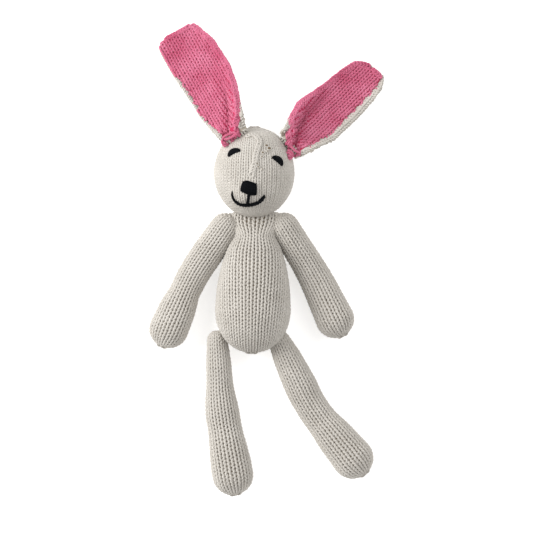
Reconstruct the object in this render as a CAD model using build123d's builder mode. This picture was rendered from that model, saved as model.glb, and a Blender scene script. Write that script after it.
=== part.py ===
from build123d import *
from math import asin, atan2, cos, degrees, hypot, radians, sin, sqrt, tan
import os

os.makedirs("parts", exist_ok=True)

# Stuffed bunny rabbit, hand knitted in cotton and lying on its back on a table.
# Millimetres. +Y runs from the feet to the ears, +Z up out of the table, +X to the toy's
# left hand side as seen from above. The table is the plane Z = 0.
# "left_" and "right_" name the side as seen from above, looking at the face.

# ---------------------------------------------------------------- driving dimensions
knit = 2.2                # thickness of the knitted fabric
pack_gap = 0.1            # stuffing to the inside of the fabric
bend_gap = 0.4            # between the two halves of a limb at its bend
thread = 1.5              # diameter of the sewing and gathering yarn
stitch_height = 1.2       # how far embroidery stands off the fabric

torso_top = (-9.4, 27.6, 25.5)
torso_bottom = (-12.2, -75.2, 25.5)
belly_half_width = 30.4
belly_side_radius = 38.0
bottom_height = 34.0      # widest point of the belly to the bottom of the torso
chest_radius = 150.0
chest_turn = 17.9         # degrees of chest arc before the shoulders round off
shoulder_round = 60.0

neck_pivot = (-10.0, 40.0, 27.0)
neck_radius = 10.0
neck_ring_radius = 5.0

head_centre = (-10.2, 68.0, 29.0)
head_half_width = 32.4
crown_side_radius = 42.0
crown_height = 38.4
chin_side_radius = 36.0
chin_height = 33.6
muzzle_centre = (-14.6, 55.6, 46.5)
muzzle_radius = 16.5

left_shoulder = (-38.0, 26.0, 24.0)
left_elbow = (-59.6, -13.6, 12.6)
left_hand = (-77.2, -55.4, 14.6)
left_hand_radius = 15.5
right_shoulder = (19.2, 26.0, 24.0)
right_elbow = (38.4, -12.8, 12.6)
right_hand = (53.6, -47.2, 14.4)
right_hand_radius = 15.3
shoulder_radius = 11.4
shoulder_ring_radius = 4.5
elbow_radius = 12.9

left_hip = (-41.0, -71.6, 17.2)
left_knee = (-35.6, -121.0, 13.2)
left_foot = (-28.4, -172.2, 15.4)
right_hip = (15.2, -74.0, 17.2)
right_knee = (37.2, -119.4, 13.2)
right_foot = (68.0, -158.6, 15.4)
hip_radius = 8.0
hip_ring_radius = 3.2
hip_seam_drop = 5.5       # the seam faces a little under the torso, so the leg can lift
knee_radius = 13.5
foot_radius = 16.4

left_ear_hinge = (-28.6, 96.0, 48.8)
left_ear_heading = 29.0   # degrees from +Y, outwards
left_ear_dip = 25.6       # degrees below level
right_ear_hinge = (21.0, 87.2, 39.8)
right_ear_heading = 45.0
right_ear_dip = 22.6
ear_base_half_width = 10.0
left_ear_edges = (        # along the ear, outer edge, inner edge
    (14.0, -9.6, 17.0),
    (32.0, -12.0, 21.4),
    (60.0, -13.6, 27.6),
    (84.0, -15.4, 25.6),
    (107.0, -15.0, 16.6),
)
right_ear_edges = (
    (14.0, -18.6, 11.6),
    (32.0, -23.0, 17.4),
    (60.0, -19.4, 18.2),
    (82.0, -17.0, 16.8),
    (97.0, -15.0, 14.6),
)
ear_border = 2.4          # width of the sewn border around the lining
ear_roll_radius = 1.7     # gathered lip at the foot of the ear


# ---------------------------------------------------------------- shared shapes
def frame_along(start, end):
    """Plane at start whose y axis points at end and whose x axis is level."""
    heading = (Vector(end) - Vector(start)).normalized()
    side = heading.cross(Vector(0, 0, 1)).normalized()
    return Plane(origin=start, x_dir=side, z_dir=side.cross(heading))


def spin_axis(frame):
    return Axis(frame.origin, frame.y_dir)


def span(start, end):
    return (Vector(end) - Vector(start)).length


def dome_radius(side_radius, half_width, height):
    """Radius of the end cap that meets a side arc smoothly."""
    top = side_radius**2 - (side_radius - half_width) ** 2 - height**2
    return top / (2 * (side_radius - height))


def joint_point(first, second, inset):
    """Point where two arcs (x, y, radius) share a tangent."""
    big, small = (first, second) if first[2] > second[2] else (second, first)
    dx, dy = small[0] - big[0], small[1] - big[1]
    reach = (big[2] - inset) / hypot(dx, dy)
    return (big[0] + dx * reach, big[1] + dy * reach)


def round_body(frame, arcs, inset, table):
    """Solid of revolution about the frame's y axis from a chain of tangent arcs."""
    first, last = arcs[0], arcs[-1]
    points = [(0, first[1] - first[2] + inset)]
    points += [joint_point(a, b, inset) for a, b in zip(arcs, arcs[1:])]
    points += [(0, last[1] + last[2] - inset)]
    with BuildPart() as solid:
        with BuildSketch(frame):
            with BuildLine():
                for arc, start, end in zip(arcs, points, points[1:]):
                    turn_start = atan2(start[1] - arc[1], start[0] - arc[0])
                    turn_end = atan2(end[1] - arc[1], end[0] - arc[0])
                    middle = (turn_start + turn_end) / 2
                    radius = arc[2] - inset
                    via = (arc[0] + radius * cos(middle), arc[1] + radius * sin(middle))
                    ThreePointArc(start, via, end)
                Line(points[-1], points[0])
            make_face()
        revolve(axis=spin_axis(frame))
        split(bisect_by=Plane(origin=(0, 0, table)), keep=Keep.TOP)
    return solid


def upper_limb(start, end, start_radius, end_radius, inset, table):
    """Ball on the start pivot, taper towards the bend, flat end just short of it."""
    frame = frame_along(start, end)
    length = span(start, end)
    slope = asin((end_radius - start_radius) / length)
    ball = start_radius - inset
    flat = length - end_radius - bend_gap - inset
    edge = (ball * cos(slope), -ball * sin(slope))
    flat_radius = edge[0] + (flat - edge[1]) * tan(slope)
    with BuildPart() as solid:
        with BuildSketch(frame):
            with BuildLine():
                CenterArc((0, 0), ball, -90, 90 - degrees(slope))
                Line(edge, (flat_radius, flat))
                Line((flat_radius, flat), (0, flat))
                Line((0, flat), (0, -ball))
            make_face()
        revolve(axis=spin_axis(frame))
        split(bisect_by=Plane(origin=(0, 0, table)), keep=Keep.TOP)
    return solid


def lower_limb(start, end, start_radius, end_radius, inset, table):
    """Ball on the bend, taper, and a larger ball for the hand or the foot."""
    frame = frame_along(start, end)
    length = span(start, end)
    slope = asin((end_radius - start_radius) / length)
    near, far = start_radius - inset, end_radius - inset
    near_edge = (near * cos(slope), -near * sin(slope))
    far_edge = (far * cos(slope), length - far * sin(slope))
    with BuildPart() as solid:
        with BuildSketch(frame):
            with BuildLine():
                CenterArc((0, 0), near, -90, 90 - degrees(slope))
                Line(near_edge, far_edge)
                CenterArc((0, length), far, -degrees(slope), 90 + degrees(slope))
                Line((0, length + far), (0, -near))
            make_face()
        revolve(axis=spin_axis(frame))
        split(bisect_by=Plane(origin=(0, 0, table)), keep=Keep.TOP)
    return solid


def fabric(shape, *dimensions):
    """Knitted tube: the outer form less the same form one fabric thickness in."""
    outer = shape(*dimensions, 0, 0)
    inner = shape(*dimensions, knit, knit)
    with BuildPart() as tube:
        add(outer.part)
        add(inner.part, mode=Mode.SUBTRACT)
    return tube


def stuffing(shape, *dimensions):
    """Wadding that fills the tube, a hair smaller all round."""
    return shape(*dimensions, knit + pack_gap, knit + pack_gap)


def ring(centre, direction, ring_radius):
    """Closed loop of sewing yarn."""
    with BuildPart(Plane(origin=centre, z_dir=direction)) as loop:
        Torus(ring_radius, thread / 2)
    return loop


def seam_ring(pivot, towards, ball_radius, gap, ring_radius):
    """Loop of sewing yarn in the gap between a ball end and its neighbour."""
    heading = (Vector(towards) - Vector(pivot)).normalized()
    reach = ball_radius + gap / 2
    centre = Vector(pivot) + heading * sqrt(reach**2 - ring_radius**2)
    return ring(centre, heading, ring_radius)


def gather_ring(start, end, cap_radius, length, inner_angle, outer_angle):
    """Drawstring lying on a rounded end, between two angles from its pole."""
    frame = frame_along(start, end)
    outer = cap_radius + stitch_height * 0.8
    low = 90 - outer_angle
    high = 90 - inner_angle
    corners = []
    for radius in (cap_radius, outer):
        for angle in (low, high):
            along = length + radius * sin(radians(angle))
            corners.append((radius * cos(radians(angle)), along))
    with BuildPart() as loop:
        with BuildSketch(frame):
            with BuildLine():
                CenterArc((0, length), cap_radius, low, high - low)
                CenterArc((0, length), outer, low, high - low)
                Line(corners[0], corners[2])
                Line(corners[1], corners[3])
            make_face()
        revolve(axis=spin_axis(frame))
    return loop


def finish(node, shape):
    """Label one part and write its STEP file."""
    shape.part.label = node
    export_step(shape.part, f"parts/{node}.step")


# ---------------------------------------------------------------- torso
torso_frame = frame_along(torso_top, torso_bottom)
torso_length = span(torso_top, torso_bottom)
belly_at = torso_length - bottom_height
bottom_radius = dome_radius(belly_side_radius, belly_half_width, bottom_height)
chest_centre = (belly_half_width - chest_radius, belly_at)
turn = radians(chest_turn)
round_centre = (
    chest_centre[0] + (chest_radius - shoulder_round) * cos(turn),
    chest_centre[1] - (chest_radius - shoulder_round) * sin(turn),
)
top_square = shoulder_round**2 - round_centre[0] ** 2 - round_centre[1] ** 2
top_radius = top_square / (2 * (shoulder_round - round_centre[1]))
torso_arcs = [
    (0, top_radius, top_radius),
    (*round_centre, shoulder_round),
    (*chest_centre, chest_radius),
    (belly_half_width - belly_side_radius, belly_at, belly_side_radius),
    (0, torso_length - bottom_radius, bottom_radius),
]

body_skin = fabric(round_body, torso_frame, torso_arcs)
body_stuffing = stuffing(round_body, torso_frame, torso_arcs)
base_gather_thread = gather_ring(
    torso_top, torso_bottom, bottom_radius, torso_length - bottom_radius, 5, 9
)
neck_gather_thread = gather_ring(torso_bottom, torso_top, top_radius, torso_length - top_radius, 19, 23)

# ---------------------------------------------------------------- neck and head
neck_gap = span(torso_top, neck_pivot) - neck_radius
neck_stitches = seam_ring(neck_pivot, torso_top, neck_radius, neck_gap, neck_ring_radius)

chin_point = (head_centre[0], head_centre[1] - chin_height, head_centre[2])
head_frame = frame_along(chin_point, head_centre)
chin_radius = dome_radius(chin_side_radius, head_half_width, chin_height)
crown_radius = dome_radius(crown_side_radius, head_half_width, crown_height)
head_arcs = [
    (0, chin_radius, chin_radius),
    (head_half_width - chin_side_radius, chin_height, chin_side_radius),
    (head_half_width - crown_side_radius, chin_height, crown_side_radius),
    (0, chin_height + crown_height - crown_radius, crown_radius),
]


def head_shape(inset, table):
    """Round head with a short neck and a soft muzzle."""
    egg = round_body(head_frame, head_arcs, inset, table)
    with BuildPart() as solid:
        add(egg.part)
        with Locations(neck_pivot):
            Sphere(neck_radius - inset)
        with Locations(muzzle_centre):
            Sphere(muzzle_radius - inset)
    return solid


def embroidered(sketch, height):
    """Patch of stitches of the given outline lying on the face."""
    raised = head_shape(-height, 0)
    bare = head_shape(0, 0)
    with BuildPart() as patch:
        with BuildSketch(Plane(origin=(0, 0, head_centre[2]))):
            add(sketch.sketch)
        extrude(amount=60)
        add(raised.part, mode=Mode.INTERSECT)
        add(bare.part, mode=Mode.SUBTRACT)
    return patch


def half_moon(first, second, rise, sag):
    """Closed eye: an arched top over a nearly flat lower line."""
    start, end = Vector(*first), Vector(*second)
    chord = (end - start).normalized()
    up = Vector(-chord.Y, chord.X)
    middle = (start + end) * 0.5
    with BuildSketch() as eye:
        with BuildLine():
            ThreePointArc(start, middle + up * rise, end)
            ThreePointArc(start, middle + up * sag, end)
        make_face()
        fillet(eye.vertices(), 0.5)
    return eye


head_skin = fabric(head_shape)
head_stuffing = stuffing(head_shape)

left_eye = embroidered(half_moon((-31.6, 82.2), (-21.6, 87.2), 4.6, 0.5), stitch_height)
right_eye = embroidered(half_moon((3.2, 81.4), (11.8, 74.6), 4.9, 0.5), stitch_height)

with BuildSketch() as nose_outline:
    with BuildLine():
        Polyline(
            (-20.6, 62.2),
            (-15.0, 62.6),
            (-8.2, 60.8),
            (-8.6, 51.8),
            (-14.6, 51.4),
            (-21.8, 54.4),
            close=True,
        )
    make_face()
    fillet(nose_outline.vertices(), 1.2)
nose = embroidered(nose_outline, stitch_height * 1.3)

with BuildSketch() as mouth_outline:
    with BuildLine():
        Spline((-28.2, 54.2), (-27.0, 48.0), (-21.0, 43.4), (-15.2, 42.6), (-7.0, 45.0), (-2.0, 51.2))
    trace(line_width=2.2)
    with BuildLine():
        Line((-14.6, 51.0), (-15.2, 43.0))
    trace(line_width=1.8)
mouth = embroidered(mouth_outline, stitch_height)
with BuildPart() as mouth_below_nose:
    add(mouth.part)
    add(nose.part, mode=Mode.SUBTRACT)

with BuildSketch() as seam_outline:
    with BuildLine():
        Spline((-13.4, 96.4), (-7.6, 92.4), (-6.4, 86.0), (-8.6, 80.0), (-13.2, 70.8), (-15.0, 63.4))
    trace(line_width=3.0)
forehead_seam = embroidered(seam_outline, stitch_height * 1.1)
crown_gather_thread = gather_ring(
    chin_point, head_centre, crown_radius, chin_height + crown_height - crown_radius, 10, 14
)


# ---------------------------------------------------------------- ears
def ear_frame(hinge, heading, dip, side):
    """y along the ear, x across it, z out of its lining; side is -1 or +1."""
    turn_angle, drop = radians(heading), radians(dip)
    along = Vector(side * sin(turn_angle) * cos(drop), cos(turn_angle) * cos(drop), -sin(drop))
    across = Vector(cos(turn_angle), -side * sin(turn_angle), 0)
    return Plane(origin=hinge, x_dir=across, z_dir=across.cross(along))


def ear_outline(edges, inset):
    """Long ear, narrow where it is gathered, with a blunt tip and soft corners."""
    foot = (-ear_base_half_width + inset, ear_base_half_width - inset, ear_roll_radius)
    outer = [(left + inset, along) for along, left, right in edges[:-1]]
    inner = [(right - inset, along) for along, left, right in edges[:-1]]
    tip, tip_left, tip_right = edges[-1]
    with BuildSketch() as outline:
        with BuildLine():
            Spline((foot[0], foot[2]), *outer, (tip_left + inset, tip - 8))
            Line((tip_left + inset, tip - 8), (tip_left + inset, tip - inset))
            Line((tip_left + inset, tip - inset), (tip_right - inset, tip - inset))
            Line((tip_right - inset, tip - inset), (tip_right - inset, tip - 8))
            Spline((tip_right - inset, tip - 8), *reversed(inner), (foot[1], foot[2]))
            Line((foot[1], foot[2]), (foot[0], foot[2]))
        make_face()
        tips = outline.vertices().sort_by(Axis.Y)[-2:]
        fillet(tips, 8.0 - inset * 1.2)
    return outline


def ear_slab(frame, outline, bottom, thickness):
    with BuildPart() as slab:
        with BuildSketch(frame.offset(bottom)):
            add(outline.sketch)
        extrude(amount=thickness)
    return slab


def ear_border_band(frame, edges):
    outer = ear_outline(edges, 0)
    inner = ear_outline(edges, ear_border)
    with BuildPart() as band:
        with BuildSketch(frame):
            add(outer.sketch)
            add(inner.sketch, mode=Mode.SUBTRACT)
        extrude(amount=knit + 0.4)
    return band


def ear_roll(frame):
    """Gathered lip at the foot of the ear, on the hinge line."""
    with BuildPart() as roll:
        with BuildSketch(Plane(origin=frame.origin, x_dir=frame.y_dir, z_dir=frame.x_dir)):
            Circle(ear_roll_radius)
        extrude(amount=ear_base_half_width - 1.0, both=True)
    return roll


# ---------------------------------------------------------------- write the body and the head
finish("body_skin", body_skin)
finish("body_stuffing", body_stuffing)
finish("base_gather_thread", base_gather_thread)
finish("neck_gather_thread", neck_gather_thread)
finish("neck_stitches", neck_stitches)
finish("head_skin", head_skin)
finish("head_stuffing", head_stuffing)
finish("left_eye", left_eye)
finish("right_eye", right_eye)
finish("nose", nose)
finish("mouth", mouth_below_nose)
finish("forehead_seam", forehead_seam)
finish("crown_gather_thread", crown_gather_thread)

# ---------------------------------------------------------------- write the ears
ears = {
    "left_ear": (left_ear_hinge, left_ear_heading, left_ear_dip, left_ear_edges, -1),
    "right_ear": (right_ear_hinge, right_ear_heading, right_ear_dip, right_ear_edges, 1),
}
for name, (hinge, heading, dip, edges, side) in ears.items():
    frame = ear_frame(hinge, heading, dip, side)
    finish(f"{name}_back", ear_slab(frame, ear_outline(edges, 0), -knit, knit))
    finish(f"{name}_lining", ear_slab(frame, ear_outline(edges, ear_border), 0, knit))
    finish(f"{name}_edge_stitches", ear_border_band(frame, edges))
    finish(f"{name}_base_stitches", ear_roll(frame))

# ---------------------------------------------------------------- write the arms
arms = {
    "left": (left_shoulder, left_elbow, left_hand, left_hand_radius),
    "right": (right_shoulder, right_elbow, right_hand, right_hand_radius),
}
top_centre = Vector(torso_frame.origin) + torso_frame.y_dir * top_radius
for name, (shoulder, elbow, hand, hand_radius) in arms.items():
    gap = span(top_centre, shoulder) - top_radius - shoulder_radius
    inwards = (torso_top[0], shoulder[1], shoulder[2])
    stitches = seam_ring(shoulder, inwards, shoulder_radius, gap, shoulder_ring_radius)
    upper = (shoulder, elbow, shoulder_radius, elbow_radius)
    lower = (elbow, hand, elbow_radius, hand_radius)
    gather = gather_ring(elbow, hand, hand_radius, span(elbow, hand), 12, 17)
    finish(f"{name}_shoulder_stitches", stitches)
    finish(f"{name}_upper_arm_skin", fabric(upper_limb, *upper))
    finish(f"{name}_upper_arm_stuffing", stuffing(upper_limb, *upper))
    finish(f"{name}_forearm_skin", fabric(lower_limb, *lower))
    finish(f"{name}_forearm_stuffing", stuffing(lower_limb, *lower))
    finish(f"{name}_hand_gather_thread", gather)

# ---------------------------------------------------------------- write the legs
legs = {
    "left": (left_hip, left_knee, left_foot),
    "right": (right_hip, right_knee, right_foot),
}
bottom_centre = Vector(torso_frame.origin) + torso_frame.y_dir * (torso_length - bottom_radius)
for name, (hip, knee, foot) in legs.items():
    gap = span(bottom_centre, hip) - bottom_radius - hip_radius
    inwards = (bottom_centre.X, bottom_centre.Y, hip[2] - hip_seam_drop)
    stitches = seam_ring(hip, inwards, hip_radius, gap, hip_ring_radius)
    upper = (hip, knee, hip_radius, knee_radius)
    lower = (knee, foot, knee_radius, foot_radius)
    gather = gather_ring(knee, foot, foot_radius, span(knee, foot), 12, 17)
    finish(f"{name}_hip_stitches", stitches)
    finish(f"{name}_thigh_skin", fabric(upper_limb, *upper))
    finish(f"{name}_thigh_stuffing", stuffing(upper_limb, *upper))
    finish(f"{name}_shin_skin", fabric(lower_limb, *lower))
    finish(f"{name}_shin_stuffing", stuffing(lower_limb, *lower))
    finish(f"{name}_foot_gather_thread", gather)
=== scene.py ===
from math import atan2, ceil, cos, hypot, pi, radians, sin

import bpy
import numpy as np
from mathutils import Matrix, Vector
from mathutils.bvhtree import BVHTree


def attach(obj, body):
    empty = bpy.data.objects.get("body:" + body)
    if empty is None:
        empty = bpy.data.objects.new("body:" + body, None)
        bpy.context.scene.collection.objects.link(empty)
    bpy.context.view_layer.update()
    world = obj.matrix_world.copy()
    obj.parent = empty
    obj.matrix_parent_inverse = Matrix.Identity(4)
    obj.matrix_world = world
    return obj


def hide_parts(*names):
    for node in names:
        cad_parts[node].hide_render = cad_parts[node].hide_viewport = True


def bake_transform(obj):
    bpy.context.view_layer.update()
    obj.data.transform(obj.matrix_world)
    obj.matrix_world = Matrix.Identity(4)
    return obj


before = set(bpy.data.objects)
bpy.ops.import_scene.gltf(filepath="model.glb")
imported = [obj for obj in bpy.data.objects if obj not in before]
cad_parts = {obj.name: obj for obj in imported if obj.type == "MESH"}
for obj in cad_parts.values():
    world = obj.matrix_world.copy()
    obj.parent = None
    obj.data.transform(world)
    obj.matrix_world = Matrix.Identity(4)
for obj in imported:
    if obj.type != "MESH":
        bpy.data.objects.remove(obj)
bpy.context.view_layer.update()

# Hand-knitted bunny lying on its back. Lengths are millimetres until a mesh is made; the table is
# z = 0, +Y runs from the feet to the ears, and the names are those of the CAD part.
MM = 0.001
FULL_TURN = 2 * pi

# ------------ the CAD part's dimensions
TORSO_TOP = (-9.4, 27.6, 25.5)
TORSO_BOTTOM = (-12.2, -75.2, 25.5)
BELLY_HALF_WIDTH, BELLY_SIDE_RADIUS, BOTTOM_HEIGHT = 30.4, 38.0, 34.0
CHEST_RADIUS, CHEST_TURN, SHOULDER_ROUND = 150.0, 17.9, 60.0
NECK_PIVOT = (-10.0, 40.0, 27.0)
HEAD_CENTRE, HEAD_HALF_WIDTH = (-10.2, 68.0, 29.0), 32.4
MUZZLE_CENTRE, MUZZLE_RADIUS = (-14.6, 55.6, 46.5), 16.5
ARMS = {      # shoulder, elbow, hand
    "left": ((-38.0, 26.0, 24.0), (-59.6, -13.6, 12.6), (-77.2, -55.4, 14.6)),
    "right": ((19.2, 26.0, 24.0), (38.4, -12.8, 12.6), (53.6, -47.2, 14.4)),
}
LEGS = {      # hip, knee, foot
    "left": ((-41.0, -71.6, 17.2), (-35.6, -121.0, 13.2), (-28.4, -172.2, 15.4)),
    "right": ((15.2, -74.0, 17.2), (37.2, -119.4, 13.2), (68.0, -158.6, 15.4)),
}
EARS = {      # middle of the hinge, degrees outwards from +Y, degrees down to the table, side
    "left": ((-28.6, 96.0, 48.8), 29.0, 25.6, -1),
    "right": ((21.0, 87.2, 39.8), 45.0, 22.6, 1),
}

# ------------ how the fabric lies over it
CROWN_SIDE_RADIUS, CROWN_HEIGHT = 42.0, 37.0
CHIN_SIDE_RADIUS, CHIN_HEIGHT = 37.0, 35.2
NECK_FLARE = [(-10.0, 9.2), (-5.0, 10.8), (0.6, 12.6), (7.6, 16.2), (16.6, 20.9)]   # along, radius
NECK_FLAT_FROM, NECK_WIDER, NECK_FLATTER = (17.0, 35.0), 1.05, 0.32
MUZZLE_EASE, MUZZLE_LEAST = 5.0, 0.1
TABLE_GAP, TABLE_SOFTNESS = 0.1, 1.2
ARM_SHAPES = {      # shoulder, elbow, hand, then (share of the length, radius)
    "left": ((-33.6, 24.6, 24.0), (-60.3, -13.4, 12.8), (-78.4, -55.6, 14.8),
             [(0, 12.3), (0.25, 13.2), (0.5, 12.9), (0.66, 12.6), (0.8, 15.1), (1, 16.1)]),
    "right": ((14.0, 25.2, 24.0), (37.8, -12.8, 12.6), (54.2, -47.8, 14.6),
              [(0, 12.0), (0.25, 12.5), (0.49, 13.2), (1, 15.8)]),
}
LEG_SHAPES = {
    "left": ((-39.6, -65.0, 17.6), (-37.0, -116.5, 13.2), (-27.4, -172.2, 15.4),
             [(0, 8.7), (0.17, 10.4), (0.32, 11.0), (0.42, 12.6), (0.54, 14.1), (0.66, 13.9), (0.79, 15.4),
              (0.92, 16.8), (1, 16.9)]),
    "right": ((10.0, -66.0, 17.8), (35.8, -119.9, 13.2), (68.3, -158.8, 15.4),
              [(0, 9.3), (0.12, 11.5), (0.26, 12.9), (0.37, 13.6), (0.5, 13.2), (0.66, 13.4), (0.8, 15.6),
               (1, 17.1)]),
}


# ------------ meshes
def unit(vectors):
    return vectors / np.maximum(np.linalg.norm(vectors, axis=-1, keepdims=True), 1e-9)


def make_piece(name, points, faces, material, uvs=None):
    """Mesh object from points in mm and a list of face arrays, one per number of sides."""
    mesh = bpy.data.meshes.new(name)
    mesh.vertices.add(len(points))
    mesh.vertices.foreach_set("co", (np.asarray(points, np.float32) * MM).ravel())
    sides = np.concatenate([np.full(len(f), f.shape[1]) for f in faces])
    corners = np.concatenate([np.asarray(f).ravel() for f in faces])
    mesh.loops.add(len(corners))
    mesh.polygons.add(len(sides))
    starts = np.concatenate([[0], np.cumsum(sides)[:-1]])
    mesh.polygons.foreach_set("loop_start", starts.astype(np.int32))
    mesh.loops.foreach_set("vertex_index", corners.astype(np.int32))
    mesh.update(calc_edges=True)
    mesh.polygons.foreach_set("use_smooth", np.ones(len(sides), bool))
    if uvs is not None:
        layer = mesh.uv_layers.new(name="yarn")
        layer.data.foreach_set("uv", np.asarray(uvs, np.float32).ravel())
    mesh.materials.append(material)
    piece = bpy.data.objects.new(name, mesh)
    bpy.context.scene.collection.objects.link(piece)
    return piece


def grid_quads(columns, rows):
    """Faces between neighbouring columns of points, where each column holds so many rows."""
    low = np.arange(rows - 1)
    before, after = columns[:-1, None] * rows + low, columns[1:, None] * rows + low
    return np.stack([before, after, after + 1, before + 1], -1).reshape(-1, 4)


def distance_along(points):
    return np.concatenate([[0], np.cumsum(np.linalg.norm(np.diff(points, axis=0), axis=1))])


def sampled(values, length, at):
    """Rows of values, given at each length along a line, read off at other places."""
    return np.stack([np.interp(at, length, values[:, k]) for k in range(values.shape[1])], 1)


TIP_SHARE = 0.7    # how far a tube's pointed end stands out, as a share of its radius


class Yarns:
    """Collects tubes of yarn and makes them into one mesh."""

    def __init__(self):
        self.points, self.quads, self.tris, self.quad_uv, self.tri_uv = [], [], [], [], []
        self.count = 0

    def add(self, path, normals, radius, closed=False, sides=5):
        path = np.asarray(path, float)
        n = len(path)
        start = self.count
        if closed:
            tangent = unit(np.roll(path, -1, 0) - np.roll(path, 1, 0))
        else:
            tangent = unit(np.gradient(path, axis=0))
        across = unit(np.cross(tangent, normals))
        up = np.cross(across, tangent)
        thick = np.broadcast_to(np.asarray(radius, float), (n,))[:, None, None]
        angle = np.arange(sides) * FULL_TURN / sides
        ring = across[:, None] * np.cos(angle)[:, None] + up[:, None] * np.sin(angle)[:, None]
        self.points.append((path[:, None] + ring * thick).reshape(-1, 3))
        length = np.linalg.norm(np.roll(path, -1, 0) - path, axis=1)
        along = np.concatenate([[0], np.cumsum(length)])
        last = n if closed else n - 1
        i, s = np.meshgrid(np.arange(last), np.arange(sides), indexing="ij")
        after, beside = (i + 1) % n, (s + 1) % sides
        quads = np.stack([i * sides + s, after * sides + s, after * sides + beside, i * sides + beside], -1)
        self.quads.append(quads.reshape(-1, 4) + start)
        low, high = along[i], along[i + 1]
        left, right = s / sides, (s + 1) / sides
        uv = np.stack([left, low, left, high, right, high, right, low], -1)
        self.quad_uv.append(uv.reshape(-1, 4, 2))
        self.count += n * sides
        if not closed:
            for end, sign in ((0, -1), (n - 1, 1)):
                tip = path[end] + tangent[end] * sign * float(thick[end, 0, 0]) * TIP_SHARE
                self.points.append(tip[None])
                corner = start + end * sides + np.arange(sides)
                fan = [corner, np.roll(corner, -1)][::-sign]
                self.tris.append(np.stack([*fan, np.full(sides, self.count)], -1))
                self.tri_uv.append(np.full((sides, 3, 2), [0.5, along[end]]))
                self.count += 1

    def piece(self, name, material):
        faces = [np.concatenate(self.quads)]
        uvs = [np.concatenate(self.quad_uv).reshape(-1, 2)]
        if self.tris:
            faces.append(np.concatenate(self.tris))
            uvs.append(np.concatenate(self.tri_uv).reshape(-1, 2))
        return make_piece(name, np.concatenate(self.points), faces, material, np.concatenate(uvs))


# ------------ surfaces
def ease(x, low, high):
    share = np.clip((x - low) / (high - low), 0, 1)
    return share * share * (3 - 2 * share)


class Skin:
    """Grid of points over two coordinates, u around or across and v along, with outward normals."""

    def __init__(self, points, u, v, wrap, outward):
        self.points, self.u, self.v, self.wrap = points, u, v, wrap
        if wrap:
            padded = np.concatenate([points[-2:-1], points, points[1:2]])
            du = padded[2:] - padded[:-2]
        else:
            du = np.gradient(points, axis=0)
        dv = np.gradient(points, axis=1)
        self.normals = unit(np.cross(du, dv)) * outward

    def at(self, u, v, offset=0.0):
        """Points and normals at u, v, moved out by offset."""
        fu = np.clip((u - self.u[0]) / (self.u[1] - self.u[0]), 0, len(self.u) - 1.001)
        fv = np.clip((v - self.v[0]) / (self.v[1] - self.v[0]), 0, len(self.v) - 1.001)
        i, j = fu.astype(int), fv.astype(int)
        a, b = (fu - i)[..., None], (fv - j)[..., None]
        found = []
        for grid in (self.points, self.normals):
            low = grid[i, j] * (1 - a) + grid[i + 1, j] * a
            high = grid[i, j + 1] * (1 - a) + grid[i + 1, j + 1] * a
            found.append(low * (1 - b) + high * b)
        normal = unit(found[1])
        return found[0] + normal * np.broadcast_to(offset, normal.shape[:-1])[..., None], normal


def table_rest(points):
    """Points that would sink into the table spread out on it instead."""
    out = points.copy()
    height = (points[..., 2] - TABLE_GAP) / TABLE_SOFTNESS
    out[..., 2] = TABLE_GAP + TABLE_SOFTNESS * np.logaddexp(0, height)
    return out


def arc_profile(arcs, samples=60):
    """Radius and distance along the axis for a chain of tangent arcs (x, y, radius)."""
    points = [(0, arcs[0][1] - arcs[0][2])]
    for first, second in zip(arcs, arcs[1:]):
        big, small = (first, second) if first[2] > second[2] else (second, first)
        dx, dy = small[0] - big[0], small[1] - big[1]
        reach = big[2] / hypot(dx, dy)
        points.append((big[0] + dx * reach, big[1] + dy * reach))
    points.append((0, arcs[-1][1] + arcs[-1][2]))
    radius, along = [], []
    for arc, start, end in zip(arcs, points, points[1:]):
        turn = np.linspace(*(atan2(y - arc[1], x - arc[0]) for x, y in (start, end)), samples)
        radius.append(arc[0] + arc[2] * np.cos(turn))
        along.append(arc[1] + arc[2] * np.sin(turn))
    return np.concatenate(along), np.maximum(np.concatenate(radius), 0)


def dome_radius(side_radius, half_width, height):
    top = side_radius**2 - (side_radius - half_width) ** 2 - height**2
    return top / (2 * (side_radius - height))


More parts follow.
